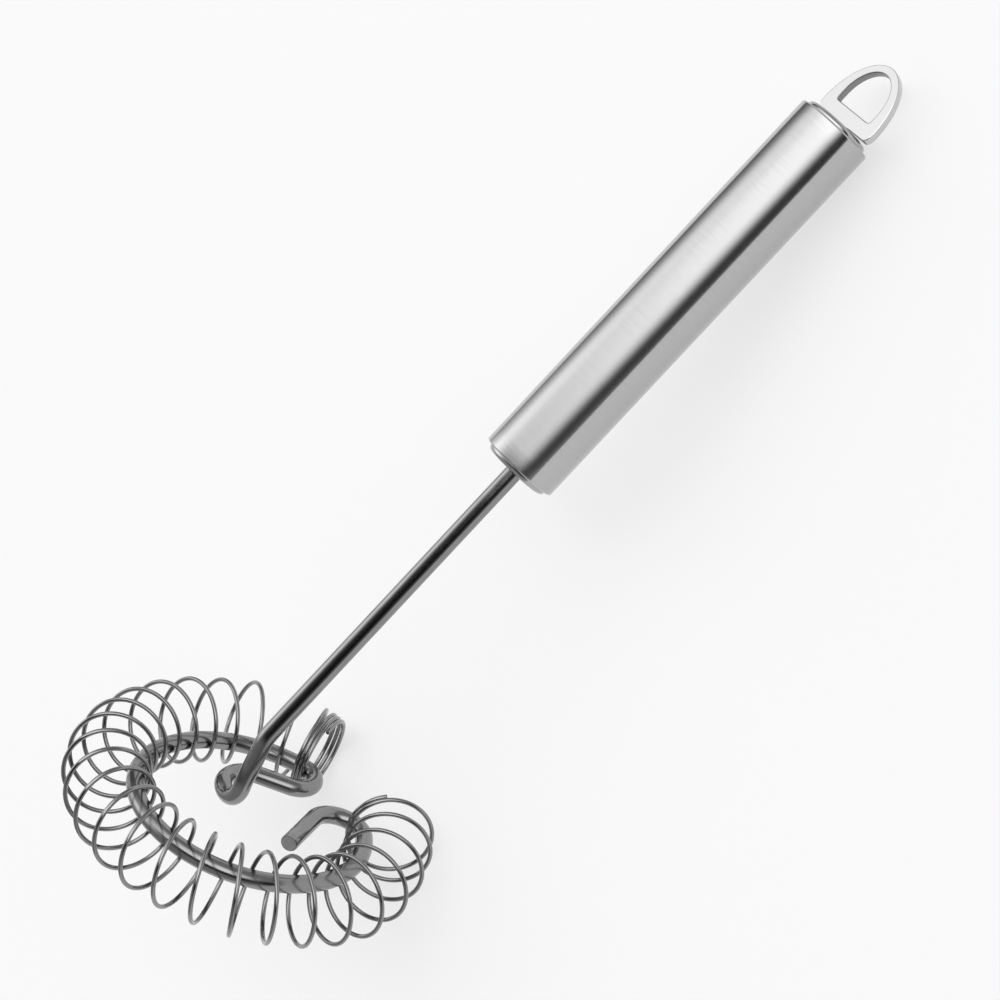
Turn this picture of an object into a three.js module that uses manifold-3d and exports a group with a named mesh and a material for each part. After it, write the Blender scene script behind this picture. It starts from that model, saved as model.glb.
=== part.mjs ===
import * as THREE from 'three';
import { mergeVertices } from 'three/addons/utils/BufferGeometryUtils.js';
import Module from 'manifold-3d';

// Whisk: a rod bent into stem, ring and hook, with a loose coil spring on the ring.
// Millimetres, +Z up, lying on a worktop as it rests after use.

// Gap left between two pieces that seat on each other
const FIT = 0.3;

// Handle tube
const TUBE_OUTER = 18;
const TUBE_WALL = 1;
const TUBE_LENGTH = 97.2;
const TUBE_EDGE = 0.5;

// Pressed cups that close the tube
const CAP_PROUD = 1.2;
const CAP_SKIRT = 7;
const CAP_SHEET = 0.8;
const CAP_EDGE = 1;

// Rod: stem, foot, eye, ring and hook in one length
const ROD = 4;
const RING_RADIUS = 26;
const RING_START = 37.8;
const RING_END = 336.5;
const HOOK_RADIUS = 6.05;
const HOOK_TURN = 153.5;
const HOOK_TAIL = 13.5;
const RETURN_RADIUS = 5.1;
const CHORD_HEADING = -214.5;
const CHORD_LENGTH = 6.85;
const EYE_RADIUS = 7.2;
const EYE_HEADING = 268.7;
const FOOT_RADIUS = 5.4;
const LEAN_RADIUS = 12.8;
const LEG_LEAN = 7.1;
const LEG_LENGTH = 9.8;
const KINK_RADIUS = 9;
const STEM_SLOPE = 62.35;
const STEM_HEADING = 0.5;
const STEM_LENGTH = 78.2;
const STEM_IN_TUBE = 5;

// Coil spring threaded on the ring
const SPRING_WIRE = 1;
const COIL_RADIUS = 9.28;
const COIL_RISE = 0.51;
const CLOSED_TURNS_START = 2;
const OPEN_TURNS = 24;
const CLOSED_TURNS_END = 1;
const CLOSED_GAP = 0.46;
const CLOSED_FAN = 0.8;
const CLOSED_IN = 0.5;
const OPEN_START = 40;
const OPEN_END = 333.4;
const LEAD = 2.7;
const LEAD_TURNS = 3;
const TILT_FROM = 130;
const TILT_TO = 50;
const TILT_IN = 0.3;
const TILT_UP = 1.18;
const DRIFT_FROM = 285;
const DRIFT_TO = 325;
const DRIFT_IN = 1.59;
const DRIFT_UP = 2.63;
const TURN_STEPS = 8;
const WIRE_SIDES = 5;

// Hanging loop: arched plate with a tang through the rear cap
const LOOP_SHEET = 2;
const LOOP_WIDTH = 16.4;
const LOOP_BASE = 13.6;
const LOOP_HEIGHT = 15.5;
const LOOP_SHOULDER = 2.4;
const LOOP_SHIFT = 1;
const LOOP_ROLL = 8;
const OPENING_WIDTH = 10.8;
const OPENING_BOTTOM = 3.5;
const OPENING_SPRING = 5.8;
const OPENING_TOP = 13.6;
const OPENING_CORNER = 0.8;
const TANG_WIDTH = 6;
const TANG_DEPTH = 3;

// Weld beads inside the caps
const BEAD_WIDTH = 1.8;
const BEAD_HEIGHT = 1.8;

const capRadius = TUBE_OUTER / 2 - TUBE_WALL - FIT;
const capFace = CAP_PROUD - CAP_SHEET;
const coilCentre = RING_RADIUS - ROD / 2 - FIT - SPRING_WIRE / 2 + COIL_RADIUS;
const up = new THREE.Vector3(0, 0, 1);

const wasm = await Module();
wasm.setup();

function toSolid(geometry) {
  const bare = geometry.clone();
  bare.deleteAttribute('normal');
  bare.deleteAttribute('uv');
  const merged = mergeVertices(bare, 1e-5);
  const vertProperties = new Float32Array(merged.attributes.position.array);
  const triVerts = new Uint32Array(merged.index.array);
  return new wasm.Manifold(new wasm.Mesh({ numProp: 3, vertProperties, triVerts }));
}

function toGeometry(solid) {
  const mesh = solid.getMesh();
  const geometry = new THREE.BufferGeometry();
  geometry.setAttribute('position', new THREE.BufferAttribute(new Float32Array(mesh.vertProperties), 3));
  geometry.setIndex(new THREE.BufferAttribute(new Uint32Array(mesh.triVerts), 1));
  geometry.computeVertexNormals();
  return geometry;
}

function piece(name, geometry, colour, roughness) {
  const material = new THREE.MeshStandardMaterial({ color: colour, roughness, metalness: 1 });
  const mesh = new THREE.Mesh(geometry, material);
  mesh.name = name;
  return mesh;
}

function level(degrees) {
  const angle = THREE.MathUtils.degToRad(degrees);
  return new THREE.Vector3(Math.cos(angle), Math.sin(angle), 0);
}

function roundSection(radius, sides, turn) {
  const shape = new THREE.Shape();
  for (let i = 0; i <= sides; i += 1) {
    const angle = turn + (2 * Math.PI * i) / sides;
    const x = radius * Math.cos(angle);
    const y = radius * Math.sin(angle);
    if (i === 0) shape.moveTo(x, y);
    else shape.lineTo(x, y);
  }
  return shape;
}

// A length of rod laid down leg by leg: straight runs and round bends
class BentRod extends THREE.Curve {
  constructor(start, heading) {
    super();
    this.at = start.clone();
    this.heading = heading.clone();
    this.legs = [];
    this.steps = 0;
  }

  straight(length, steps) {
    const from = this.at.clone();
    const along = this.heading.clone();
    this.legs.push({
      steps,
      point: (s) => from.clone().addScaledVector(along, length * s),
      tangent: () => along.clone(),
    });
    this.steps += steps;
    this.at = from.clone().addScaledVector(along, length);
    return this;
  }

  bend(side, radius, degrees, steps) {
    const turn = THREE.MathUtils.degToRad(degrees);
    const inward = side.clone();
    const along = this.heading.clone();
    const centre = this.at.clone().addScaledVector(inward, radius);
    const point = (s) => centre.clone()
      .addScaledVector(inward, -radius * Math.cos(turn * s))
      .addScaledVector(along, radius * Math.sin(turn * s));
    const tangent = (s) => along.clone()
      .multiplyScalar(Math.cos(turn * s))
      .addScaledVector(inward, Math.sin(turn * s));
    this.legs.push({ steps, point, tangent });
    this.steps += steps;
    this.at = point(1);
    this.heading = tangent(1);
    return this;
  }

  legAt(u) {
    let rest = u * this.steps;
    for (const leg of this.legs) {
      if (rest <= leg.steps + 1e-9) return [leg, Math.min(rest / leg.steps, 1)];
      rest -= leg.steps;
    }
    return [this.legs[this.legs.length - 1], 1];
  }

  getPoint(u) {
    const [leg, s] = this.legAt(u);
    return leg.point(s);
  }

  getPointAt(u) {
    return this.getPoint(u);
  }

  getTangentAt(u) {
    const [leg, s] = this.legAt(u);
    return leg.tangent(s).normalize();
  }
}

// Core wire, from the cut end of the hook to the end inside the tube
const hook = new BentRod(level(RING_END).multiplyScalar(RING_RADIUS), level(RING_END + 90))
  .bend(level(RING_END + 180), HOOK_RADIUS, HOOK_TURN, 10)
  .straight(HOOK_TAIL, 1);
const tailHeading = hook.heading.clone().negate();
const tailSide = new THREE.Vector3().crossVectors(tailHeading, up);
const chordTurn = RING_START - 90 - CHORD_HEADING;
const eyeTurn = EYE_HEADING - 360 - CHORD_HEADING;
const lean = THREE.MathUtils.degToRad(LEG_LEAN);
const leanSide = level(STEM_HEADING);
const kinkSide = leanSide.clone().multiplyScalar(Math.cos(lean)).addScaledVector(up, -Math.sin(lean));
const rod = new BentRod(hook.at, tailHeading)
  .straight(HOOK_TAIL, 1)
  .bend(tailSide, HOOK_RADIUS, HOOK_TURN, 10)
  .bend(level(RING_END + 180), RING_RADIUS, RING_END - RING_START, 60)
  .bend(level(RING_START + 180), RETURN_RADIUS, chordTurn, 10)
  .straight(CHORD_LENGTH, 1)
  .bend(level(CHORD_HEADING + 90), EYE_RADIUS, eyeTurn, 8)
  .bend(up, FOOT_RADIUS, 90, 6)
  .bend(leanSide, LEAN_RADIUS, LEG_LEAN, 2)
  .straight(LEG_LENGTH, 1)
  .bend(kinkSide, KINK_RADIUS, 90 - LEG_LEAN - STEM_SLOPE, 5);
const stemFrom = rod.at.clone();
const stemAlong = rod.heading.clone();
rod.straight(STEM_LENGTH + STEM_IN_TUBE, 2);
const rodGeometry = new THREE.ExtrudeGeometry(roundSection(ROD / 2, 16, 0), {
  steps: rod.steps,
  extrudePath: rod,
  bevelEnabled: false,
});

// Coil spring: curls round the rod while it travels along the ring
const innerRadius = coilCentre - COIL_RADIUS;
const closedPitch = SPRING_WIRE + CLOSED_GAP;
const closedSlide = closedPitch - THREE.MathUtils.degToRad(CLOSED_FAN) * innerRadius;
const endPitch = THREE.MathUtils.radToDeg(closedPitch / (innerRadius - DRIFT_IN));
const openPitch = (OPEN_END - OPEN_START - LEAD) / OPEN_TURNS;
const totalTurns = CLOSED_TURNS_START + OPEN_TURNS + CLOSED_TURNS_END;
const cornerRadius = COIL_RADIUS / Math.cos(Math.PI / TURN_STEPS);
const firstCorner = Math.PI / 2 + Math.PI / TURN_STEPS;

class RingCoil extends THREE.Curve {
  travel(open) {
    if (open < 0) return OPEN_START + open * CLOSED_FAN;
    if (open > OPEN_TURNS) return OPEN_END + (open - OPEN_TURNS) * endPitch;
    return OPEN_START + open * openPitch + LEAD * THREE.MathUtils.smoothstep(open, 0, LEAD_TURNS);
  }

  getPoint(u) {
    const turn = u * totalTurns;
    const open = turn - CLOSED_TURNS_START;
    const closed = Math.min(open, 0);
    const angle = this.travel(open);
    const tilt = 1 - THREE.MathUtils.smoothstep(angle, TILT_TO, TILT_FROM);
    const drift = THREE.MathUtils.smoothstep(angle, DRIFT_FROM, DRIFT_TO);
    const curl = firstCorner - 2 * Math.PI * turn;
    const inward = tilt * TILT_IN - closed * CLOSED_IN + drift * DRIFT_IN;
    const rise = COIL_RISE + tilt * TILT_UP + drift * DRIFT_UP + cornerRadius * Math.sin(curl);
    return level(angle).multiplyScalar(coilCentre - inward + cornerRadius * Math.cos(curl))
      .addScaledVector(level(angle + 90), closed * closedSlide)
      .addScaledVector(up, rise);
  }

  getPointAt(u) {
    return this.getPoint(u);
  }

  getTangentAt(u) {
    const step = 1 / (totalTurns * TURN_STEPS);
    const back = this.getPoint(Math.max(u - step, 0));
    const ahead = this.getPoint(Math.min(u + step, 1));
    return ahead.sub(back).normalize();
  }
}

const coil = new RingCoil();
const coilSteps = totalTurns * TURN_STEPS;
const coilGeometry = new THREE.ExtrudeGeometry(roundSection(SPRING_WIRE / 2, WIRE_SIDES, 0), {
  steps: coilSteps,
  extrudePath: coil,
  bevelEnabled: false,
});

function leastGap(curve, steps, thickness) {
  const perStep = 4;
  const points = [];
  for (let i = 0; i < steps; i += 1) {
    const from = curve.getPoint(i / steps);
    const to = curve.getPoint((i + 1) / steps);
    for (let j = 0; j < perStep; j += 1) points.push(from.clone().lerp(to, j / perStep));
  }
  let least = Infinity;
  const skip = (TURN_STEPS * perStep) / 2;
  for (let i = 0; i < points.length; i += 1) {
    for (let j = i + skip; j < points.length; j += 1) {
      least = Math.min(least, points[i].distanceTo(points[j]));
    }
  }
  return least - thickness;
}
console.log('least gap between curls', leastGap(coil, coilSteps, SPRING_WIRE).toFixed(3), 'mm');

function turnedOnZ(profile, segments) {
  return new THREE.LatheGeometry(profile, segments).rotateX(Math.PI / 2);
}

// Handle tube, with rounded rims, along +Z from its front end
function quarter(cx, cy, radius, fromDegrees) {
  const points = [];
  for (let i = 0; i <= 3; i += 1) {
    const angle = THREE.MathUtils.degToRad(fromDegrees + 30 * i);
    points.push(new THREE.Vector2(cx + radius * Math.cos(angle), cy + radius * Math.sin(angle)));
  }
  return points;
}

const tubeOut = TUBE_OUTER / 2;
const tubeIn = tubeOut - TUBE_WALL;
const tubeProfile = [
  new THREE.Vector2(tubeIn, 0),
  ...quarter(tubeOut - TUBE_EDGE, TUBE_EDGE, TUBE_EDGE, -90),
  ...quarter(tubeOut - TUBE_EDGE, TUBE_LENGTH - TUBE_EDGE, TUBE_EDGE, 0),
  new THREE.Vector2(tubeIn, TUBE_LENGTH),
  new THREE.Vector2(tubeIn, 0),
];
const tubeGeometry = turnedOnZ(tubeProfile, 64);

// Front cup: face outward along -Z, pierced for the stem
const stemHole = ROD / 2 + FIT;
const frontProfile = [
  new THREE.Vector2(stemHole, -CAP_PROUD),
  ...quarter(capRadius - CAP_EDGE, CAP_EDGE - CAP_PROUD, CAP_EDGE, -90),
  new THREE.Vector2(capRadius, CAP_SKIRT),
  new THREE.Vector2(capRadius - CAP_SHEET, CAP_SKIRT),
  new THREE.Vector2(capRadius - CAP_SHEET, -capFace),
  new THREE.Vector2(stemHole, -capFace),
  new THREE.Vector2(stemHole, -CAP_PROUD),
];
const frontGeometry = turnedOnZ(frontProfile, 48);

// Rear cup: face outward along +Z, slotted for the tang
const rearProfile = [
  new THREE.Vector2(0, capFace),
  new THREE.Vector2(capRadius - CAP_SHEET, capFace),
  new THREE.Vector2(capRadius - CAP_SHEET, -CAP_SKIRT),
  new THREE.Vector2(capRadius, -CAP_SKIRT),
  ...quarter(capRadius - CAP_EDGE, CAP_PROUD - CAP_EDGE, CAP_EDGE, 0),
  new THREE.Vector2(0, CAP_PROUD),
];
const slot = new THREE.BoxGeometry(LOOP_SHEET + 2 * FIT, TANG_WIDTH + 2 * FIT, 4 * TANG_DEPTH);
const rearCup = toSolid(turnedOnZ(rearProfile, 48));
const rearGeometry = toGeometry(rearCup.subtract(toSolid(slot)));

// Hanging loop: outline in its own plane, x across and y along the handle
function arch(path, width, from, to, steps) {
  for (let i = 0; i <= steps; i += 1) {
    const angle = (Math.PI * i) / steps;
    path.lineTo(LOOP_SHIFT + (width / 2) * Math.cos(angle), from + (to - from) * Math.sin(angle));
  }
}

const seat = CAP_PROUD + FIT;
const shoulderX = (3 * LOOP_WIDTH + LOOP_BASE) / 8;
const shoulderY = seat + LOOP_SHOULDER / 3;
const outline = new THREE.Shape();
outline.moveTo(-TANG_WIDTH / 2, capFace - TANG_DEPTH);
outline.lineTo(TANG_WIDTH / 2, capFace - TANG_DEPTH);
outline.lineTo(TANG_WIDTH / 2, seat);
outline.lineTo(LOOP_SHIFT + LOOP_BASE / 2, seat);
outline.lineTo(LOOP_SHIFT + shoulderX, shoulderY);
arch(outline, LOOP_WIDTH, seat + LOOP_SHOULDER, seat + LOOP_HEIGHT, 28);
outline.lineTo(LOOP_SHIFT - shoulderX, shoulderY);
outline.lineTo(LOOP_SHIFT - LOOP_BASE / 2, seat);
outline.lineTo(-TANG_WIDTH / 2, seat);
outline.closePath();

const opening = new THREE.Path();
const openingHalf = OPENING_WIDTH / 2;
opening.moveTo(LOOP_SHIFT - openingHalf + OPENING_CORNER, seat + OPENING_BOTTOM);
opening.lineTo(LOOP_SHIFT + openingHalf - OPENING_CORNER, seat + OPENING_BOTTOM);
opening.lineTo(LOOP_SHIFT + openingHalf, seat + OPENING_BOTTOM + OPENING_CORNER);
arch(opening, OPENING_WIDTH, seat + OPENING_SPRING, seat + OPENING_TOP, 24);
opening.lineTo(LOOP_SHIFT - openingHalf, seat + OPENING_BOTTOM + OPENING_CORNER);
opening.closePath();
outline.holes.push(opening);
const loopGeometry = new THREE.ExtrudeGeometry(outline, { depth: LOOP_SHEET, bevelEnabled: false });
loopGeometry.translate(0, 0, -LOOP_SHEET / 2);
loopGeometry.rotateX(Math.PI / 2);
loopGeometry.rotateZ(Math.PI / 2);

// Weld beads behind the cap faces
const stemBead = [
  new THREE.Vector2(stemHole, FIT - capFace),
  new THREE.Vector2(stemHole + BEAD_WIDTH, FIT - capFace),
  new THREE.Vector2(stemHole + BEAD_WIDTH / 3, FIT - capFace + BEAD_HEIGHT),
  new THREE.Vector2(stemHole, FIT - capFace + BEAD_HEIGHT),
  new THREE.Vector2(stemHole, FIT - capFace),
];
const stemBeadGeometry = turnedOnZ(stemBead, 32);
const hangerBeadTop = capFace - FIT;
const hangerBeadOut = TANG_WIDTH / 2 + FIT + BEAD_WIDTH;
const hangerBead = [
  new THREE.Vector2(0, hangerBeadTop - BEAD_HEIGHT),
  new THREE.Vector2(hangerBeadOut - BEAD_WIDTH / 2, hangerBeadTop - BEAD_HEIGHT),
  new THREE.Vector2(hangerBeadOut, hangerBeadTop),
  new THREE.Vector2(0, hangerBeadTop),
];
const hangerBeadSolid = toSolid(turnedOnZ(hangerBead, 32));
const hangerBeadGeometry = toGeometry(hangerBeadSolid.subtract(toSolid(slot)));

// Handle group: its +Z runs along the stem, its +X lies in the plane of the stem and the ring's axis
const across = new THREE.Vector3().crossVectors(stemAlong, up).normalize();
const lift = new THREE.Vector3().crossVectors(across, stemAlong).normalize();
const handle = new THREE.Group();
handle.name = 'handle';
handle.position.copy(stemFrom).addScaledVector(stemAlong, STEM_LENGTH);
handle.quaternion.setFromRotationMatrix(new THREE.Matrix4().makeBasis(lift, across, stemAlong));
const tube = piece('handle_tube', tubeGeometry, 0xc4c5c7, 0.3);
handle.add(tube);
handle.add(piece('front_cap', frontGeometry, 0xb4b5b7, 0.25));
handle.add(piece('stem_weld', stemBeadGeometry, 0x8d8a86, 0.6));
const rearEnd = new THREE.Group();
rearEnd.name = 'rear_end';
rearEnd.position.z = TUBE_LENGTH;
rearEnd.rotation.z = THREE.MathUtils.degToRad(LOOP_ROLL);
rearEnd.add(piece('rear_cap', rearGeometry, 0xb4b5b7, 0.25));
rearEnd.add(piece('hanging_loop', loopGeometry, 0xd2d3d5, 0.15));
rearEnd.add(piece('hanger_weld', hangerBeadGeometry, 0x8d8a86, 0.6));
handle.add(rearEnd);

const whisk = new THREE.Group();
whisk.name = 'whisk_turned';
const spring = piece('coil_spring', coilGeometry, 0x9a9b9d, 0.3);
whisk.add(piece('core_wire', rodGeometry, 0xa4a5a7, 0.2));
whisk.add(spring);
whisk.add(handle);

// Resting attitude: three feet, the tube's rear rim and the two ends of the spring
function pointsOf(mesh) {
  mesh.updateWorldMatrix(true, false);
  const position = mesh.geometry.attributes.position;
  const points = [];
  for (let i = 0; i < position.count; i += 1) {
    points.push(new THREE.Vector3().fromBufferAttribute(position, i).applyMatrix4(mesh.matrixWorld));
  }
  return points;
}

function lowest(points, direction) {
  return points.reduce((best, p) => (p.dot(direction) < best.dot(direction) ? p : best));
}

const springPoints = pointsOf(spring);
const feet = [
  pointsOf(tube),
  springPoints.filter((p) => p.y > 0),
  springPoints.filter((p) => p.y <= 0),
];
let tableUp = new THREE.Vector3(-0.96, 0, 0.28).normalize();
for (let i = 0; i < 20; i += 1) {
  const [a, b, c] = feet.map((points) => lowest(points, tableUp));
  const normal = new THREE.Plane().setFromCoplanarPoints(a, b, c).normal;
  tableUp = normal.dot(tableUp) < 0 ? normal.negate() : normal.clone();
}
const ahead = stemAlong.clone().addScaledVector(tableUp, -stemAlong.dot(tableUp)).normalize();
const aside = new THREE.Vector3().crossVectors(tableUp, ahead);
const turned = new THREE.Matrix4().makeBasis(ahead, aside, tableUp).transpose();
whisk.quaternion.setFromRotationMatrix(turned);

const whole = new THREE.Group();
whole.name = 'whisk';
whole.add(whisk);
whole.updateMatrixWorld(true);
const box = new THREE.Box3().setFromObject(whole, true);
const middle = box.getCenter(new THREE.Vector3());
whisk.position.set(-middle.x, -middle.y, -box.min.z);
whole.updateMatrixWorld(true);

export default whole;
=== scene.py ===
import math

import bpy
import numpy as np
from mathutils import Matrix, Vector
from mathutils.geometry import tessellate_polygon


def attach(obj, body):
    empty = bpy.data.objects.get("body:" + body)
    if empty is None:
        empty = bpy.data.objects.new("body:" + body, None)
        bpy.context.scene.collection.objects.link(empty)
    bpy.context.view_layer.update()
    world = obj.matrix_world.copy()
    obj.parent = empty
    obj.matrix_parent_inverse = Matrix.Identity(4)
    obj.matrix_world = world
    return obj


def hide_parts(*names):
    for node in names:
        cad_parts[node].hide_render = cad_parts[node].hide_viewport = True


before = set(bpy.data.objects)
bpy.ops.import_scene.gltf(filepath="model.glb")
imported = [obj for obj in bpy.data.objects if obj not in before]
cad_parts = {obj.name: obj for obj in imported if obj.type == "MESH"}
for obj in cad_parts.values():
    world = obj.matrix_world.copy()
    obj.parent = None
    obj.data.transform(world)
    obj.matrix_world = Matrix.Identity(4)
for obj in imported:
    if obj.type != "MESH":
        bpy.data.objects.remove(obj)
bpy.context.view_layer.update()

# Sizes in millimetres and angles in degrees, as in the solids
MM = 0.001
FIT = 0.3
TUBE_OUTER = 18
TUBE_WALL = 1
TUBE_LENGTH = 97.2
TUBE_EDGE = 0.5
CAP_PROUD = 1.2
CAP_SKIRT = 7
CAP_SHEET = 0.8
CAP_EDGE = 1
ROD = 4
RING_RADIUS = 26
RING_START = 37.8
RING_END = 336.5
HOOK_RADIUS = 6.05
HOOK_TURN = 153.5
HOOK_TAIL = 13.5
RETURN_RADIUS = 5.1
CHORD_HEADING = -214.5
CHORD_LENGTH = 6.85
EYE_RADIUS = 7.2
EYE_HEADING = 268.7
FOOT_RADIUS = 5.4
LEAN_RADIUS = 12.8
LEG_LEAN = 7.1
LEG_LENGTH = 9.8
KINK_RADIUS = 9
STEM_SLOPE = 62.35
STEM_HEADING = 0.5
STEM_LENGTH = 78.2
STEM_IN_TUBE = 5
SPRING_WIRE = 1
COIL_RADIUS = 9.28
COIL_RISE = 0.51
CURL_START = 112.5
CLOSED_TURNS_START = 3
OPEN_TURNS = 24
CLOSED_TURNS_END = 1
CLOSED_PITCH = 1.06
CLOSED_FAN = 0.8
CLOSED_IN = 0.5
END_PITCH = 2.75
OPEN_START = 40
OPEN_END = 333.4
LEAD = 2.7
LEAD_TURNS = 3
TILT_FROM = 130
TILT_TO = 50
TILT_IN = 0.3
TILT_UP = 1.18
DRIFT_FROM = 285
DRIFT_TO = 325
DRIFT_IN = 1.59
DRIFT_UP = 2.63
LOOP_SHEET = 2
LOOP_WIDTH = 16.4
LOOP_BASE = 13.6
LOOP_HEIGHT = 15.5
LOOP_SHOULDER = 2.4
LOOP_SHIFT = 1
OPENING_WIDTH = 10.8
OPENING_BOTTOM = 3.5
OPENING_SPRING = 5.8
OPENING_TOP = 13.6
OPENING_CORNER = 0.8
TANG_WIDTH = 6
TANG_DEPTH = 3

# Finer than the solids: rounded rims, and two turns that sit off the even pitch,
# each with the turn it is centred on, degrees along the ring and millimetres inward
ROD_CUT_EDGE = 0.35
SPRING_CUT_EDGE = 0.12
LOOP_EDGE = 0.2
UNEVEN_REACH = 0.45
UNEVEN_TURNS = ((1.2, -2.3, 0.9), (2.15, 0.4, -1.0))

# How finely the meshes are cut
TUBE_SIDES = 192
TUBE_RINGS = 24
TUBE_EDGE_STEPS = 8
CAP_SIDES = 160
CAP_FACE_RINGS = 4
CAP_EDGE_STEPS = 10
ROD_SIDES = 40
WIRE_SIDES = 14
WIRE_STEPS_PER_TURN = 56
RIM_STEPS = 4
ARCH_STEPS = 96
FOOT_STEPS = 8
CORNER_STEPS = 6
SHARP_EDGE = 40
SHARP_PLATE_EDGE = 50
MITRE_LIMIT = 0.4

# Where a wire's cut ends lie across its UV map
CUT_MIDDLE = 0.5
CUT_REACH = 0.1

# Where the solids stand: columns are a piece's own axes, then its origin
RING_PLACE = Matrix((
    (0.293996, -0.008899, 0.955765, -94.1588 * MM),
    (-0.064029, 0.997527, 0.028983, 0.0171 * MM),
    (-0.953660, -0.069718, 0.292699, 34.1547 * MM),
    (0, 0, 0, 1),
))
HANDLE_PLACE = Matrix((
    (0.183198, 0.011464, 0.983009, 1.2590 * MM),
    (0.062454, -0.998048, -0.000000, 1.9979 * MM),
    (0.981090, 0.061393, -0.183557, 26.5914 * MM),
    (0, 0, 0, 1),
))
REAR_PLACE = Matrix((
    (0.183011, -0.014144, 0.983009, 96.8075 * MM),
    (-0.077055, -0.997027, -0.000000, 1.9979 * MM),
    (0.980086, -0.075746, -0.183557, 8.7497 * MM),
    (0, 0, 0, 1),
))
CAP_RADIUS = TUBE_OUTER / 2 - TUBE_WALL - FIT
CAP_FACE = CAP_PROUD - CAP_SHEET
COIL_CENTRE = RING_RADIUS - ROD / 2 - FIT - SPRING_WIRE / 2 + COIL_RADIUS


# Meshes
def add_mesh(name, points, faces, uvs, place, sharp_degrees):
    mesh = bpy.data.meshes.new(name)
    placed = [place @ Vector((p[0] * MM, p[1] * MM, p[2] * MM)) for p in points]
    mesh.from_pydata(placed, [], faces)
    layer = mesh.uv_layers.new(name="UVMap")
    for i, uv in enumerate(uvs):
        layer.data[i].uv = uv
    mesh.shade_smooth()
    mesh.set_sharp_from_angle(angle=math.radians(sharp_degrees))
    mesh.validate()
    mesh.update()
    obj = bpy.data.objects.new(name, mesh)
    bpy.context.scene.collection.objects.link(obj)
    return obj


def quarter(cx, cy, radius, from_degrees, steps):
    """Points of a quarter circle round (cx, cy)."""
    angles = [math.radians(from_degrees + 90 * i / steps) for i in range(steps + 1)]
    return [(cx + radius * math.cos(a), cy + radius * math.sin(a)) for a in angles]


def turned(profile, segments, closed):
    """A profile of (radius, height) turned round the piece's own Z."""
    count = len(profile)
    points = []
    for radius, height in profile:
        for j in range(segments):
            a = 2 * math.pi * j / segments
            points.append((radius * math.cos(a), radius * math.sin(a), height))
    run = [0.0]
    for i in range(count):
        a, b = profile[i], profile[(i + 1) % count]
        run.append(run[-1] + math.dist(a, b))
    faces, uvs = [], []
    for i in range(count if closed else count - 1):
        low, high = i * segments, ((i + 1) % count) * segments
        for j in range(segments):
            k = (j + 1) % segments
            faces.append((low + j, low + k, high + k, high + j))
            left, right = j / segments, (j + 1) / segments
            uvs += [(run[i], left), (run[i], right), (run[i + 1], right), (run[i + 1], left)]
    return points, faces, uvs


def swept(path, radius, sides, edge):
    """A round wire along a path, with cut ends whose rims are rounded by edge."""
    path = np.asarray(path, float)
    tangent = np.gradient(path, axis=0)
    tangent /= np.linalg.norm(tangent, axis=1)[:, None]
    run = np.concatenate([[0], np.cumsum(np.linalg.norm(np.diff(path, axis=0), axis=1))])
    side = np.cross(tangent[0], (0.0, 0.0, 1.0))
    rings = []
    for i in range(len(path)):
        side = side - tangent[i] * (side @ tangent[i])
        side = side / np.linalg.norm(side)
        rings.append((path[i], side, np.cross(tangent[i], side), radius, run[i]))
    first, last = [], []
    for i in range(1, RIM_STEPS + 1):
        a = 0.5 * math.pi * i / RIM_STEPS
        out = edge * math.sin(a)
        r = radius - edge + edge * math.cos(a)
        first.append((path[0] - tangent[0] * out, rings[0][1], rings[0][2], r, run[0] - out))
        last.append((path[-1] + tangent[-1] * out, rings[-1][1], rings[-1][2], r, run[-1] + out))
    rings = first[::-1] + rings + last
    runs = [ring[-1] for ring in rings]
    angles = [2 * math.pi * j / sides for j in range(sides)]
    points, faces, uvs = [], [], []
    for centre, x, y, r, _ in rings:
        points += [tuple(centre + r * (math.cos(a) * x + math.sin(a) * y)) for a in angles]
    for i in range(len(rings) - 1):
        for j in range(sides):
            k = (j + 1) % sides
            faces.append((i * sides + j, i * sides + k, (i + 1) * sides + k, (i + 1) * sides + j))
            left, right = j / sides, (j + 1) / sides
            uvs += [(runs[i], left), (runs[i], right), (runs[i + 1], right), (runs[i + 1], left)]
    around = range(sides)
    for order, ring_number in ((around[::-1], 0), (around, len(rings) - 1)):
        faces.append([ring_number * sides + j for j in order])
        for j in order:
            across, up_cut = math.cos(angles[j]), math.sin(angles[j])
            uvs.append((runs[ring_number] + radius * across, CUT_MIDDLE + CUT_REACH * up_cut))
    return points, faces, uvs


def inset(loop, amount):
    """A flat closed loop moved to its left, which is inward for a loop that runs anticlockwise."""
    loop = np.asarray(loop, float)
    back = loop - np.roll(loop, 1, axis=0)
    ahead = np.roll(loop, -1, axis=0) - loop
    back /= np.linalg.norm(back, axis=1)[:, None]
    ahead /= np.linalg.norm(ahead, axis=1)[:, None]
    left_back = np.column_stack([-back[:, 1], back[:, 0]])
    left_ahead = np.column_stack([-ahead[:, 1], ahead[:, 0]])
    middle = left_back + left_ahead
    middle /= np.maximum(1 + np.sum(left_back * left_ahead, axis=1), MITRE_LIMIT)[:, None]
    return loop + amount * middle


def filled(points, rim, hole, facing):
    """Triangles between two rings of point numbers in a level plane, facing up (1) or down (-1)."""
    rings = [[Vector(points[i]) for i in ring] for ring in (rim, hole)]
    numbers = list(rim) + list(hole)
    triangles = [[numbers[i] for i in triangle] for triangle in tessellate_polygon(rings)]
    area = 0
    for triangle in triangles:
        p, q, r = (points[i] for i in triangle)
        area += (q[0] - p[0]) * (r[1] - p[1]) - (q[1] - p[1]) * (r[0] - p[0])
    return triangles if area * facing > 0 else [triangle[::-1] for triangle in triangles]


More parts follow.
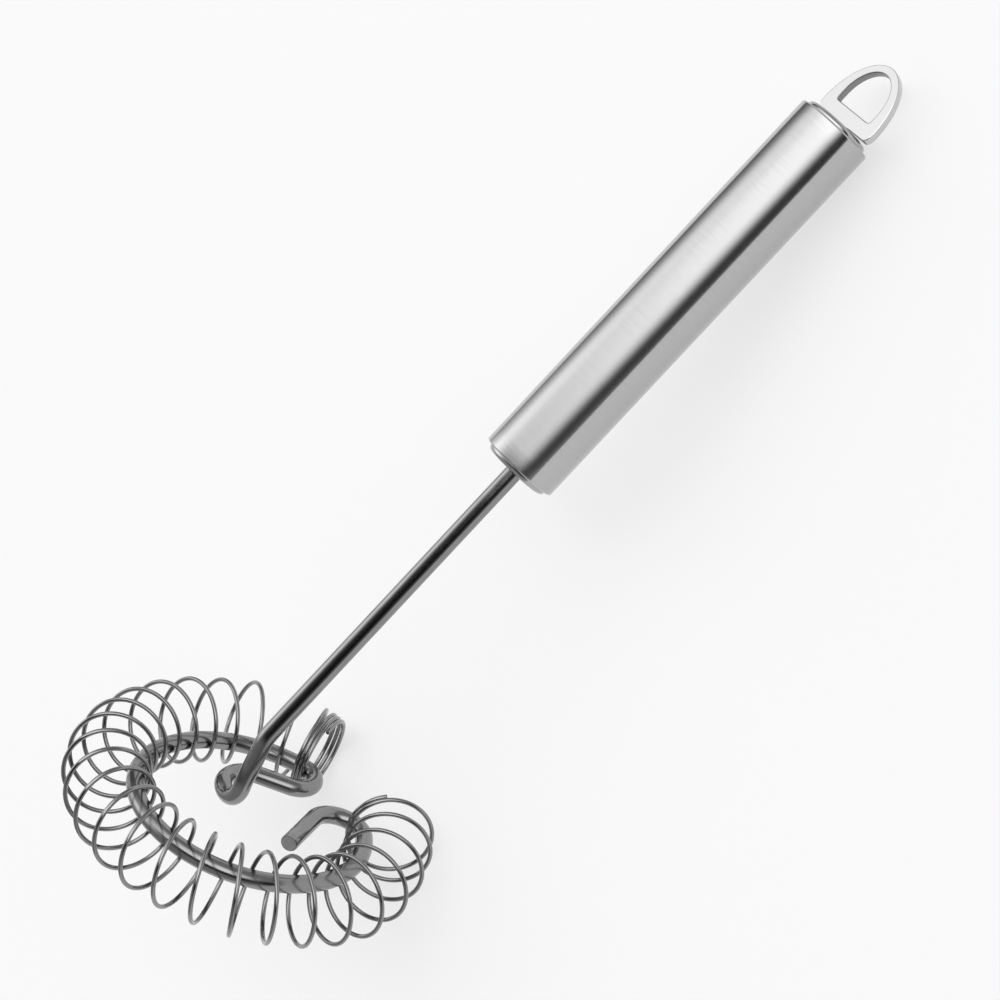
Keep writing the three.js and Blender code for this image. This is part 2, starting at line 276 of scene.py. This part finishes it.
def plate(outer, hole, thickness, edge):
    """A flat plate with a hole, its rims rounded by edge. Points are (x, y) in its plane.

    The last result says how many faces there are at the end of each rim.
    """
    levels = []
    for i in range(RIM_STEPS + 1):
        a = 0.5 * math.pi * i / RIM_STEPS
        levels.append((edge * (1 - math.sin(a)), thickness / 2 - edge * (1 - math.cos(a))))
    levels = levels + [(d, -z) for d, z in levels[::-1]]
    points, faces, uvs = [], [], []
    tops, bottoms, rim_ends = [], [], []
    for loop in (outer, hole):
        count = len(loop)
        first = len(points)
        for d, z in levels:
            points.extend((x, y, z) for x, y in inset(loop, d))
        for i in range(len(levels) - 1):
            for j in range(count):
                k = (j + 1) % count
                a, b = first + i * count, first + (i + 1) * count
                ids = (a + j, b + j, b + k, a + k)
                faces.append(ids)
                uvs += [(points[q][1], points[q][0] + points[q][2]) for q in ids]
        tops.append(range(first, first + count))
        bottoms.append(range(len(points) - count, len(points)))
        rim_ends.append(len(faces))
    for ids in filled(points, *tops, 1) + filled(points, *bottoms, -1):
        faces.append(ids)
        uvs += [(points[i][1], points[i][0]) for i in ids]
    return points, faces, uvs, rim_ends


# Handle tube and the two pressed cups
tube_out = TUBE_OUTER / 2
tube_in = tube_out - TUBE_WALL
tube_profile = (
    [(tube_in, 0.0)]
    + quarter(tube_out - TUBE_EDGE, TUBE_EDGE, TUBE_EDGE, -90, TUBE_EDGE_STEPS)
    + [(tube_out, TUBE_LENGTH * i / TUBE_RINGS) for i in range(1, TUBE_RINGS)]
    + quarter(tube_out - TUBE_EDGE, TUBE_LENGTH - TUBE_EDGE, TUBE_EDGE, 0, TUBE_EDGE_STEPS)
    + [(tube_in, TUBE_LENGTH)]
)
tube_mesh = turned(tube_profile, TUBE_SIDES, closed=True)
handle = add_mesh("tube_brushed", *tube_mesh, HANDLE_PLACE, SHARP_EDGE)

stem_hole = ROD / 2 + FIT
face_width = CAP_RADIUS - CAP_EDGE - stem_hole
front_profile = (
    [(stem_hole, -CAP_PROUD)]
    + [(stem_hole + face_width * i / CAP_FACE_RINGS, -CAP_PROUD) for i in range(1, CAP_FACE_RINGS)]
    + quarter(CAP_RADIUS - CAP_EDGE, CAP_EDGE - CAP_PROUD, CAP_EDGE, -90, CAP_EDGE_STEPS)
    + [(CAP_RADIUS, CAP_SKIRT)]
    + [(CAP_RADIUS - CAP_SHEET, CAP_SKIRT)]
    + [(CAP_RADIUS - CAP_SHEET, -CAP_FACE), (stem_hole, -CAP_FACE)]
)
front_mesh = turned(front_profile, CAP_SIDES, closed=True)
front = add_mesh("front_cup", *front_mesh, HANDLE_PLACE, SHARP_EDGE)

rear_profile = (
    [(CAP_RADIUS - CAP_SHEET, CAP_FACE)]
    + [(CAP_RADIUS - CAP_SHEET, -CAP_SKIRT), (CAP_RADIUS, -CAP_SKIRT)]
    + quarter(CAP_RADIUS - CAP_EDGE, CAP_PROUD - CAP_EDGE, CAP_EDGE, 0, CAP_EDGE_STEPS)
)


def slotted_cup(profile, segments, half_x, half_y):
    """The turned profile of a cup, closed by a face with a slot for the hanging loop's tang.

    The last result says how many faces come before the flat ones.
    """
    points, faces, uvs = turned(profile, segments, closed=False)
    turned_faces = len(faces)
    inner_rim = range(segments)
    outer_rim = range(len(points) - segments, len(points))
    corners = ((-half_x, -half_y), (half_x, -half_y), (half_x, half_y), (-half_x, half_y))
    low = range(len(points), len(points) + len(corners))
    points += [(x, y, profile[0][1]) for x, y in corners]
    high = range(len(points), len(points) + len(corners))
    points += [(x, y, profile[-1][1]) for x, y in corners]
    faces += filled(points, inner_rim, low, -1) + filled(points, outer_rim, high, 1)
    for j in range(len(corners)):
        k = (j + 1) % len(corners)
        faces.append((high[j], high[k], low[k], low[j]))
    girth = 2 * math.pi * CAP_RADIUS
    for face in faces[turned_faces:]:
        uvs += [(points[i][0] + points[i][2], points[i][1] / girth) for i in face]
    return points, faces, uvs, turned_faces


*cup_mesh, cup_flat = slotted_cup(
    rear_profile, CAP_SIDES, LOOP_SHEET / 2 + FIT, TANG_WIDTH / 2 + FIT
)
rear = add_mesh("rear_cup", *cup_mesh, REAR_PLACE, SHARP_EDGE)
for face in rear.data.polygons[cup_flat:]:
    face.use_smooth = False


# Hanging loop: x across and y along the handle
def arch(width, low, high, steps):
    angles = [math.pi * i / steps for i in range(steps + 1)]
    return [(LOOP_SHIFT + width / 2 * math.cos(a), low + (high - low) * math.sin(a)) for a in angles]


def bow(start, pull, end, steps):
    """A smooth curve from start to end, drawn towards pull."""
    out = []
    for i in range(1, steps):
        t = i / steps
        out.append(tuple((1 - t) ** 2 * s + 2 * t * (1 - t) * p + t * t * e
                         for s, p, e in zip(start, pull, end)))
    return out


seat = CAP_PROUD + FIT
half_base, half_width = LOOP_BASE / 2, LOOP_WIDTH / 2
arch_points = arch(LOOP_WIDTH, seat + LOOP_SHOULDER, seat + LOOP_HEIGHT, ARCH_STEPS)
right_foot = (LOOP_SHIFT + half_base, seat)
left_foot = (LOOP_SHIFT - half_base, seat)
loop_outer = (
    [(-TANG_WIDTH / 2, CAP_FACE - TANG_DEPTH), (TANG_WIDTH / 2, CAP_FACE - TANG_DEPTH)]
    + [(TANG_WIDTH / 2, seat), right_foot]
    + bow(right_foot, (LOOP_SHIFT + half_width, seat), arch_points[0], FOOT_STEPS)
    + arch_points
    + bow(arch_points[-1], (LOOP_SHIFT - half_width, seat), left_foot, FOOT_STEPS)
    + [left_foot, (-TANG_WIDTH / 2, seat)]
)
half_opening = OPENING_WIDTH / 2
sill = seat + OPENING_BOTTOM
opening_arch = arch(OPENING_WIDTH, seat + OPENING_SPRING, seat + OPENING_TOP, ARCH_STEPS)
corner_right = (LOOP_SHIFT + half_opening, sill)
corner_left = (LOOP_SHIFT - half_opening, sill)
sill_right = (corner_right[0] - OPENING_CORNER, sill)
sill_left = (corner_left[0] + OPENING_CORNER, sill)
wall_right = (corner_right[0], sill + OPENING_CORNER)
wall_left = (corner_left[0], sill + OPENING_CORNER)
loop_hole = (
    [sill_left, sill_right]
    + bow(sill_right, corner_right, wall_right, CORNER_STEPS)
    + [wall_right]
    + opening_arch
    + [wall_left]
    + bow(wall_left, corner_left, sill_left, CORNER_STEPS)
)[::-1]
flat_points, plate_faces, plate_uvs, rim_ends = plate(loop_outer, loop_hole, LOOP_SHEET, LOOP_EDGE)
plate_points = [(z, x, y) for x, y, z in flat_points]
hanger = add_mesh("loop_plate", plate_points, plate_faces, plate_uvs, REAR_PLACE, SHARP_PLATE_EDGE)
opening_wall = hanger.data.polygons[rim_ends[0]:rim_ends[1]]
for face in hanger.data.polygons[rim_ends[1]:]:
    face.use_smooth = False


# Bent rod, laid down leg by leg in the ring's own frame
def level(degrees):
    a = math.radians(degrees)
    return np.array([math.cos(a), math.sin(a), 0.0])


class Rod:
    def __init__(self, start, heading):
        self.at = np.asarray(start, float)
        self.heading = np.asarray(heading, float)
        self.points = [self.at]

    def straight(self, length, steps):
        for i in range(1, steps + 1):
            self.points.append(self.at + self.heading * length * i / steps)
        self.at = self.points[-1]

    def bend(self, side, radius, degrees, steps):
        turn = math.radians(degrees)
        centre = self.at + side * radius
        for i in range(1, steps + 1):
            a = turn * i / steps
            outward = side * radius * math.cos(a)
            self.points.append(centre - outward + self.heading * radius * math.sin(a))
        self.at = self.points[-1]
        self.heading = self.heading * math.cos(turn) + side * math.sin(turn)


up = np.array([0.0, 0.0, 1.0])
hook = Rod(level(RING_END) * RING_RADIUS, level(RING_END + 90))
hook.bend(level(RING_END + 180), HOOK_RADIUS, HOOK_TURN, steps=2)
tail = hook.heading.copy()
rod = Rod(hook.at + tail * (HOOK_TAIL - ROD_CUT_EDGE), -tail)
rod.straight(HOOK_TAIL - ROD_CUT_EDGE, steps=8)
rod.bend(np.cross(-tail, up), HOOK_RADIUS, HOOK_TURN, steps=40)
rod.bend(level(RING_END + 180), RING_RADIUS, RING_END - RING_START, steps=200)
rod.bend(level(RING_START + 180), RETURN_RADIUS, RING_START - 90 - CHORD_HEADING, steps=40)
rod.straight(CHORD_LENGTH, steps=8)
rod.bend(level(CHORD_HEADING + 90), EYE_RADIUS, EYE_HEADING - 360 - CHORD_HEADING, steps=36)
rod.bend(up, FOOT_RADIUS, 90, steps=24)
rod.bend(level(STEM_HEADING), LEAN_RADIUS, LEG_LEAN, steps=6)
rod.straight(LEG_LENGTH, steps=8)
lean = math.radians(LEG_LEAN)
kink_side = level(STEM_HEADING) * math.cos(lean) - up * math.sin(lean)
rod.bend(kink_side, KINK_RADIUS, 90 - LEG_LEAN - STEM_SLOPE, steps=16)
bent_length = sum(math.dist(a, b) for a, b in zip(rod.points, rod.points[1:]))
rod.straight(STEM_LENGTH + STEM_IN_TUBE - ROD_CUT_EDGE, steps=40)
rod_mesh = swept(rod.points, ROD / 2, ROD_SIDES, ROD_CUT_EDGE)
bent_rod = add_mesh("bent_rod", *rod_mesh, RING_PLACE, SHARP_EDGE)


# Coil spring: curls round the rod while it travels along the ring
def smooth(value, low, high):
    t = min(max((value - low) / (high - low), 0), 1)
    return t * t * (3 - 2 * t)


open_pitch = (OPEN_END - OPEN_START - LEAD) / OPEN_TURNS
closed_slide = CLOSED_PITCH - math.radians(CLOSED_FAN) * (COIL_CENTRE - COIL_RADIUS)


def travel(opened):
    """Degrees along the ring after so many open turns."""
    if opened < 0:
        return OPEN_START + opened * CLOSED_FAN
    if opened > OPEN_TURNS:
        return OPEN_END + (opened - OPEN_TURNS) * END_PITCH
    return OPEN_START + opened * open_pitch + LEAD * smooth(opened, 0, LEAD_TURNS)


def coil_point(turn):
    opened = turn - CLOSED_TURNS_START
    closed = min(opened, 0)
    angle = travel(opened)
    uneven_in = 0
    for middle, degrees, millimetres in UNEVEN_TURNS:
        share = max(1 - ((opened - middle) / UNEVEN_REACH) ** 2, 0) ** 2
        angle += share * degrees
        uneven_in += share * millimetres
    tilt = 1 - smooth(angle, TILT_TO, TILT_FROM)
    drift = smooth(angle, DRIFT_FROM, DRIFT_TO)
    curl = math.radians(CURL_START) - 2 * math.pi * opened
    inward = tilt * TILT_IN - closed * CLOSED_IN + drift * DRIFT_IN + uneven_in
    rise = COIL_RISE + tilt * TILT_UP + drift * DRIFT_UP + COIL_RADIUS * math.sin(curl)
    out = COIL_CENTRE - inward + COIL_RADIUS * math.cos(curl)
    return level(angle) * out + level(angle + 90) * closed * closed_slide + up * rise


total_turns = CLOSED_TURNS_START + OPEN_TURNS + CLOSED_TURNS_END
wire_steps = total_turns * WIRE_STEPS_PER_TURN
coil_path = [coil_point(i / WIRE_STEPS_PER_TURN) for i in range(wire_steps + 1)]
coil_mesh = swept(coil_path, SPRING_WIRE / 2, WIRE_SIDES, SPRING_CUT_EDGE)
spring = add_mesh("long_spring", *coil_mesh, RING_PLACE, SHARP_EDGE)

# Materials: where noise has its dark and pale ends, and how its marks are spaced and mixed
NOISE_LOW, NOISE_HIGH = 0.3, 0.7
HAIRS_AROUND = 8.0
STREAKS_AROUND = 4.0
STREAK_FINENESS = 0.22
STREAK_SHARE = 0.12
BRUSHED_CLOUDS_PER_METRE = 60.0
BRUSHED_CLOUD_SHARE = 0.12
DRAWN_CLOUDS_PER_METRE = 160.0
DRAWN_CLOUD_SHARE = 0.5
BEND_BLEND = 4.0
WELD_RIPPLES_PER_METRE = 900.0


class Shader:
    """A metal whose nodes are added one at a time."""

    def __init__(self, name):
        self.material = bpy.data.materials.new(name)
        self.material.use_nodes = True
        self.tree = self.material.node_tree
        self.surface = self.tree.nodes["Principled BSDF"]
        self.surface.inputs["Metallic"].default_value = 1.0

    def node(self, kind, **settings):
        made = self.tree.nodes.new(kind)
        for key, value in settings.items():
            setattr(made, key, value)
        return made

    def link(self, out, into):
        self.tree.links.new(out, into)

    def scaled(self, where, scale):
        mapping = self.node("ShaderNodeMapping")
        mapping.inputs["Scale"].default_value = scale
        self.link(where, mapping.inputs["Vector"])
        return mapping.outputs["Vector"]

    def uv(self):
        return self.node("ShaderNodeUVMap", uv_map="UVMap").outputs["UV"]

    def lines(self, along, around, detail, roughness):
        """Noise drawn out by the UV map, whose U is in millimetres and whose V goes round once."""
        return self.noise(self.scaled(self.uv(), (along, around, 1.0)), detail, roughness)

    def clouds(self, per_metre, detail, roughness):
        where = self.node("ShaderNodeTexCoord").outputs["Object"]
        return self.noise(self.scaled(where, (per_metre, per_metre, per_metre)), detail, roughness)

    def run(self):
        """The length along a wire, in millimetres."""
        parts = self.node("ShaderNodeSeparateXYZ")
        self.link(self.uv(), parts.inputs["Vector"])
        return parts.outputs["X"]

    def times(self, a, b):
        made = self.node("ShaderNodeMath", operation="MULTIPLY")
        self.link(a, made.inputs[0])
        self.link(b, made.inputs[1])
        return made.outputs[0]

    def noise(self, vector, detail, roughness):
        made = self.node("ShaderNodeTexNoise")
        made.inputs["Scale"].default_value = 1.0
        made.inputs["Detail"].default_value = detail
        made.inputs["Roughness"].default_value = roughness
        self.link(vector, made.inputs["Vector"])
        return made.outputs["Fac"]

    def spread(self, value, low, high, to_low, to_high):
        made = self.node("ShaderNodeMapRange")
        made.inputs["From Min"].default_value = low
        made.inputs["From Max"].default_value = high
        made.inputs["To Min"].default_value = to_low
        made.inputs["To Max"].default_value = to_high
        self.link(value, made.inputs["Value"])
        return made.outputs["Result"]

    def tint(self, value, low, high):
        ramp = self.node("ShaderNodeValToRGB")
        ramp.color_ramp.elements[0].position = NOISE_LOW
        ramp.color_ramp.elements[0].color = (*low, 1)
        ramp.color_ramp.elements[1].position = NOISE_HIGH
        ramp.color_ramp.elements[1].color = (*high, 1)
        self.link(value, ramp.inputs["Fac"])
        self.link(ramp.outputs["Color"], self.surface.inputs["Base Color"])

    def mixed(self, a, b, share):
        made = self.node("ShaderNodeMix", data_type="FLOAT")
        made.inputs["Factor"].default_value = share
        self.link(a, made.inputs[2])
        self.link(b, made.inputs[3])
        return made.outputs[0]

    def bump(self, height, strength, distance):
        made = self.node("ShaderNodeBump")
        made.inputs["Strength"].default_value = strength
        made.inputs["Distance"].default_value = distance
        self.link(height, made.inputs["Height"])
        self.link(made.outputs["Normal"], self.surface.inputs["Normal"])

    def grain(self, amount):
        self.surface.inputs["Anisotropic"].default_value = amount
        along = self.node("ShaderNodeTangent", direction_type="UV_MAP", uv_map="UVMap")
        self.link(along.outputs["Tangent"], self.surface.inputs["Tangent"])

    def rough(self, value):
        self.link(value, self.surface.inputs["Roughness"])


def brushed(name, low, high, fine, rough_low, rough_high, grain, depth):
    """Hairlines across the U axis: fine lines per millimetre, with a few broader ones."""
    made = Shader(name)
    made.grain(grain)
    hair = made.lines(fine, HAIRS_AROUND, detail=2.0, roughness=0.6)
    streak = made.lines(fine * STREAK_FINENESS, STREAKS_AROUND, detail=2.0, roughness=0.5)
    lines = made.mixed(hair, streak, STREAK_SHARE)
    cloud = made.clouds(BRUSHED_CLOUDS_PER_METRE, detail=2.0, roughness=0.5)
    made.tint(made.mixed(lines, cloud, BRUSHED_CLOUD_SHARE), low, high)
    made.rough(made.spread(lines, NOISE_LOW, NOISE_HIGH, rough_low, rough_high))
    made.bump(lines, strength=0.35, distance=depth)
    return made.material


def drawn(name, low, high, along, around, rough_low, rough_high, depth, bent=0.0, dull=1.0):
    """Drawing lines along the U axis, with small smears of polish.

    The first length, bent, is rougher than the rest by the factor dull.
    """
    made = Shader(name)
    lines = made.lines(along, around, detail=3.0, roughness=0.6)
    cloud = made.clouds(DRAWN_CLOUDS_PER_METRE, detail=3.0, roughness=0.6)
    both = made.mixed(lines, cloud, DRAWN_CLOUD_SHARE)
    made.tint(both, low, high)
    polish = made.spread(both, NOISE_LOW, NOISE_HIGH, rough_low, rough_high)
    worked = made.spread(made.run(), bent - BEND_BLEND, bent + BEND_BLEND, dull, 1.0)
    made.rough(made.times(polish, worked))
    made.bump(lines, strength=0.25, distance=depth)
    return made.material


def grey(value):
    return (value, value, value)


looks = {
    "tube": brushed(
        "tube_hairline", grey(0.447), grey(0.493), fine=5.0,
        rough_low=0.16, rough_high=0.17, grain=1.0, depth=0.000001,
    ),
    "cap": brushed(
        "cap_satin", grey(0.38), grey(0.46), fine=4.0,
        rough_low=0.14, rough_high=0.2, grain=0.3, depth=0.000006,
    ),
    "loop": brushed(
        "loop_polish", grey(0.56), grey(0.62), fine=3.0,
        rough_low=0.1, rough_high=0.16, grain=0.2, depth=0.000004,
    ),
    # The opening's wall: rougher satin, with a base colour darker than the plate's as painted shade,
    # standing in for the dark reflection inside the opening
    "wall": brushed(
        "opening_satin_painted_shade", grey(0.22), grey(0.32), fine=3.0,
        rough_low=0.3, rough_high=0.4, grain=0.0, depth=0.000006,
    ),
    "rod": drawn(
        "rod_polish", grey(0.22), grey(0.29), along=0.25, around=22.0,
        rough_low=0.06, rough_high=0.095, depth=0.000002, bent=bent_length, dull=2.2,
    ),
    "cut": brushed(
        "cut_satin", grey(0.36), grey(0.52), fine=3.0,
        rough_low=0.4, rough_high=0.5, grain=0.0, depth=0.00002,
    ),
    "spring": drawn(
        "spring_wire", grey(0.21), grey(0.3), along=0.4, around=10.0,
        rough_low=0.1, rough_high=0.16, depth=0.000004,
    ),
}


def weld_look():
    made = Shader("weld_dull")
    ripple = made.clouds(WELD_RIPPLES_PER_METRE, detail=4.0, roughness=0.6)
    made.tint(ripple, low=(0.36, 0.34, 0.33), high=(0.56, 0.54, 0.52))
    made.rough(made.spread(ripple, NOISE_LOW, NOISE_HIGH, to_low=0.4, to_high=0.65))
    made.bump(ripple, strength=0.5, distance=0.0002)
    return made.material


def dress(obj, look, body, node):
    obj.data.materials.append(look)
    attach(obj, body)
    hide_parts(node)


def second_look(obj, look, faces):
    obj.data.materials.append(look)
    for face in faces:
        face.material_index = 1


FIXED, LOOSE = "handle_and_ring", "spring"
dress(handle, looks["tube"], FIXED, "handle_tube")
dress(front, looks["cap"], FIXED, "front_cap")
dress(rear, looks["cap"], FIXED, "rear_cap")
dress(hanger, looks["loop"], FIXED, "hanging_loop")
# The opening's wall takes the darker look, whose dark base colour is painted shade
second_look(hanger, looks["wall"], opening_wall)
dress(bent_rod, looks["rod"], FIXED, "core_wire")
cut_faces = [face for face in bent_rod.data.polygons if len(face.vertices) == ROD_SIDES]
second_look(bent_rod, looks["cut"], cut_faces)
dress(spring, looks["spring"], LOOSE, "coil_spring")
weld = weld_look()
for name in ("stem_weld", "hanger_weld"):
    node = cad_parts[name]
    node.data.materials.clear()
    node.data.materials.append(weld)

# Floor, in metres: partly its own light where it is seen, so that it is white with a soft shadow
FLOOR_RADIUS = 2.5
FLOOR_SIDES = 96
FLOOR_DROP = 0.0001
FLOOR_COLOUR = (0.92, 0.92, 0.92, 1)
FLOOR_OWN_LIGHT = 0.6


def floor_material():
    material = bpy.data.materials.new("pale_floor")
    material.use_nodes = True
    tree = material.node_tree
    tree.nodes.clear()
    new, link = tree.nodes.new, tree.links.new
    out = new("ShaderNodeOutputMaterial")
    matt = new("ShaderNodeBsdfDiffuse")
    matt.inputs["Color"].default_value = FLOOR_COLOUR
    white = new("ShaderNodeEmission")
    path = new("ShaderNodeLightPath")
    seen = path.outputs["Is Camera Ray"]
    for ray in ("Is Glossy Ray", "Is Transmission Ray"):
        either = new("ShaderNodeMath")
        either.operation = "MAXIMUM"
        link(seen, either.inputs[0])
        link(path.outputs[ray], either.inputs[1])
        seen = either.outputs[0]
    share = new("ShaderNodeMath")
    share.operation = "MULTIPLY"
    share.inputs[1].default_value = FLOOR_OWN_LIGHT
    link(seen, share.inputs[0])
    mix = new("ShaderNodeMixShader")
    link(share.outputs[0], mix.inputs[0])
    link(matt.outputs[0], mix.inputs[1])
    link(white.outputs[0], mix.inputs[2])
    link(mix.outputs[0], out.inputs["Surface"])
    return material


def make_floor():
    mesh = bpy.data.meshes.new("floor")
    angles = np.linspace(0, 2 * math.pi, FLOOR_SIDES, endpoint=False)
    rim = [(FLOOR_RADIUS * math.cos(a), FLOOR_RADIUS * math.sin(a), 0.0) for a in angles]
    mesh.from_pydata(rim, [], [list(range(FLOOR_SIDES))])
    mesh.materials.append(floor_material())
    obj = bpy.data.objects.new("floor", mesh)
    obj.location.z = -FLOOR_DROP
    bpy.context.scene.collection.objects.link(obj)


make_floor()

# Studio: a light tent whose brightness goes round the handle's axis, with one run of brightness
# where the handle looks and another where the stem and the ring look. A stop is (degrees, level).
TENT_FRONT = (0.1350, -0.6750, 0.7253)
TENT_DOWN = (-0.1236, -0.7378, -0.6636)
TENT_ALONG = (0.9831, 0.0, -0.1831)
TENT_STRENGTH = 2.75
TENT_TWIST = (0.19, -0.09)
TWIST_REACH = 0.12
RING_UP_TO, HANDLE_FROM = -0.08, -0.073
END_FROM, END_TO = 0.32, 0.75
END_COLOUR = (0.16, 0.16, 0.16, 1)
NEAR_HANDLE = (
    (-180, 0.06), (-126, 0.05), (-109, 0.16), (-94, 0.38), (-83, 0.5), (-66, 0.6),
    (-48, 0.78), (-25, 0.86), (-6, 0.88), (6, 0.64), (14, 0.3), (22, 0.05),
    (32, 0.004), (46, 0.006), (56, 0.12), (180, 0.06),
)
NEAR_RING = (
    (-180, 0.08), (-128, 0.16), (-114, 0.34), (-98, 0.56), (-82, 0.82), (-66, 0.6),
    (-50, 0.24), (-36, 0.08), (-22, 0.03), (4, 0.01), (18, 0.006), (32, 0.012),
    (46, 0.06), (62, 0.16), (180, 0.08),
)


def make_world():
    world = bpy.data.worlds.new("studio")
    bpy.context.scene.world = world
    world.use_nodes = True
    tree = world.node_tree
    tree.nodes.clear()
    new, link = tree.nodes.new, tree.links.new

    def math_node(operation, *values):
        made = new("ShaderNodeMath")
        made.operation = operation
        for value, socket in zip(values, made.inputs):
            if isinstance(value, (int, float)):
                socket.default_value = value
            else:
                link(value, socket)
        return made.outputs[0]

    def spread(value, low, high, to_low, to_high):
        made = new("ShaderNodeMapRange")
        made.interpolation_type = "SMOOTHSTEP"
        made.inputs["From Min"].default_value = low
        made.inputs["From Max"].default_value = high
        made.inputs["To Min"].default_value = to_low
        made.inputs["To Max"].default_value = to_high
        link(value, made.inputs["Value"])
        return made.outputs["Result"]

    way = new("ShaderNodeTexCoord").outputs["Generated"]

    def towards(axis):
        made = new("ShaderNodeVectorMath")
        made.operation = "DOT_PRODUCT"
        link(way, made.inputs[0])
        made.inputs[1].default_value = axis
        return made.outputs["Value"]

    along = towards(TENT_ALONG)
    turn = math_node("ARCTAN2", towards(TENT_DOWN), towards(TENT_FRONT))
    twist = spread(along, -TWIST_REACH, TWIST_REACH, *TENT_TWIST)
    place = math_node("ADD", math_node("DIVIDE", math_node("ADD", turn, twist), 2 * math.pi), 0.5)

    def ramp(stops):
        made = new("ShaderNodeValToRGB")
        elements = made.color_ramp.elements
        while len(elements) < len(stops):
            elements.new(0.5)
        for element, (degrees, value) in zip(elements, stops):
            element.position = degrees / 360 + 0.5
            element.color = (value, value, value, 1)
        link(place, made.inputs["Fac"])
        return made.outputs["Color"]

    def mixed(share, a, b):
        made = new("ShaderNodeMix")
        made.data_type = "RGBA"
        link(share, made.inputs["Factor"])
        for value, socket in ((a, made.inputs[6]), (b, made.inputs[7])):
            if isinstance(value, tuple):
                socket.default_value = value
            else:
                link(value, socket)
        return made.outputs[2]

    at_handle = spread(along, RING_UP_TO, HANDLE_FROM, 0, 1)
    sides = mixed(at_handle, ramp(NEAR_RING), ramp(NEAR_HANDLE))
    at_end = spread(math_node("ABSOLUTE", along), END_FROM, END_TO, 0, 1)
    back = new("ShaderNodeBackground")
    link(mixed(at_end, sides, END_COLOUR), back.inputs["Color"])
    back.inputs["Strength"].default_value = TENT_STRENGTH
    out = new("ShaderNodeOutputWorld")
    link(back.outputs[0], out.inputs["Surface"])


make_world()

# Lamp, in metres and watts
LAMP_PLACE = Vector((0.3, 0.35, 1.1))
LAMP_AIM = Vector((-0.02, 0, 0.02))
LAMP_WIDTH = 0.9
LAMP_WATTS = 0.8


def make_light(name):
    data = bpy.data.lights.new(name, "AREA")
    data.shape = "DISK"
    data.size = LAMP_WIDTH
    data.energy = LAMP_WATTS
    obj = bpy.data.objects.new(name, data)
    obj.location = LAMP_PLACE
    obj.rotation_euler = (LAMP_AIM - LAMP_PLACE).to_track_quat("-Z", "Y").to_euler()
    obj.visible_glossy = False
    bpy.context.scene.collection.objects.link(obj)


make_light("overhead")

# Camera at the photograph's viewpoint
CAMERA_RIGHT = Vector((0.568979, -0.496563, -0.655506))
CAMERA_ABOVE = Vector((0.789716, 0.552265, 0.267119))
CAMERA_BACK = Vector((0.229372, -0.669648, 0.706371))
CAMERA_PLACE = Vector((129.908, -398.085, 447.378)) * MM
SENSOR_WIDTH = 36.0
LENS = 100.8
NEAREST, FARTHEST = 0.01, 20.0


def make_camera():
    data = bpy.data.cameras.new("camera")
    data.sensor_width = SENSOR_WIDTH
    data.lens = LENS
    data.clip_start = NEAREST
    data.clip_end = FARTHEST
    obj = bpy.data.objects.new("camera", data)
    axes = Matrix((CAMERA_RIGHT, CAMERA_ABOVE, CAMERA_BACK)).transposed().to_4x4()
    obj.matrix_world = Matrix.Translation(CAMERA_PLACE) @ axes
    bpy.context.scene.collection.objects.link(obj)
    bpy.context.scene.camera = obj


make_camera()
bpy.context.scene.view_settings.view_transform = "Standard"
